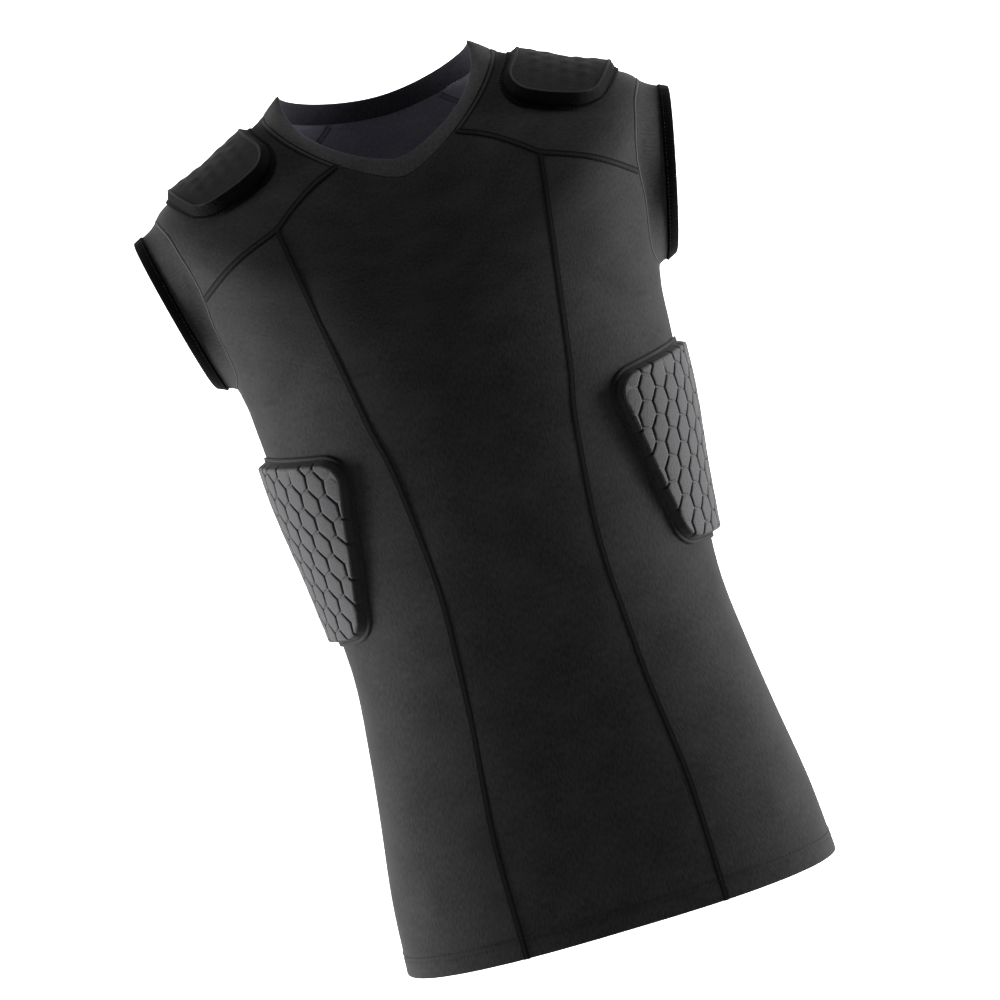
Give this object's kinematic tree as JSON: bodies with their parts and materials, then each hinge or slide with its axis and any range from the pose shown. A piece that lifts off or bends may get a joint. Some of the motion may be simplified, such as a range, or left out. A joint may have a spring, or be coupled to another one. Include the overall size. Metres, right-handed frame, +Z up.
{
  "type": "padded compression shirt",
  "caption": "Close-fitting cap-sleeve sports shirt with moulded foam pads over the shoulders and round the ribs.",
  "frame": {"origin": "midway between the shoulders, level with the middle of the yokes, where the wearer holds the shirt up", "axes": "+Z up the body, -Y out of the chest, +X towards the wearer's left"},
  "size_m": [0.4342, 0.2238, 0.6836],
  "materials": {
    "polyester_elastane_knit": "smooth warp knit with a soft sheen",
    "neckband_rib_knit": "doubled knit",
    "black_elastic_binding": "folded elastic",
    "moulded_foam_pad": "knit moulded over foam",
    "mesh_covered_foam": "mesh over foam"
  },
  "bodies": {
    "root": {"front_centre_panel": "polyester_elastane_knit", "back_panel": "polyester_elastane_knit", "side_panel_left": "polyester_elastane_knit", "side_panel_right": "polyester_elastane_knit", "yoke_left": "polyester_elastane_knit", "yoke_right": "polyester_elastane_knit", "sleeve_left": "polyester_elastane_knit", "sleeve_right": "polyester_elastane_knit", "neckband": "neckband_rib_knit", "cuff_binding_left": "black_elastic_binding", "cuff_binding_right": "black_elastic_binding", "rib_pad_left": "moulded_foam_pad", "rib_pad_right": "moulded_foam_pad", "shoulder_pad_left": "mesh_covered_foam", "shoulder_pad_right": "mesh_covered_foam"}
  },
  "joints": []
}
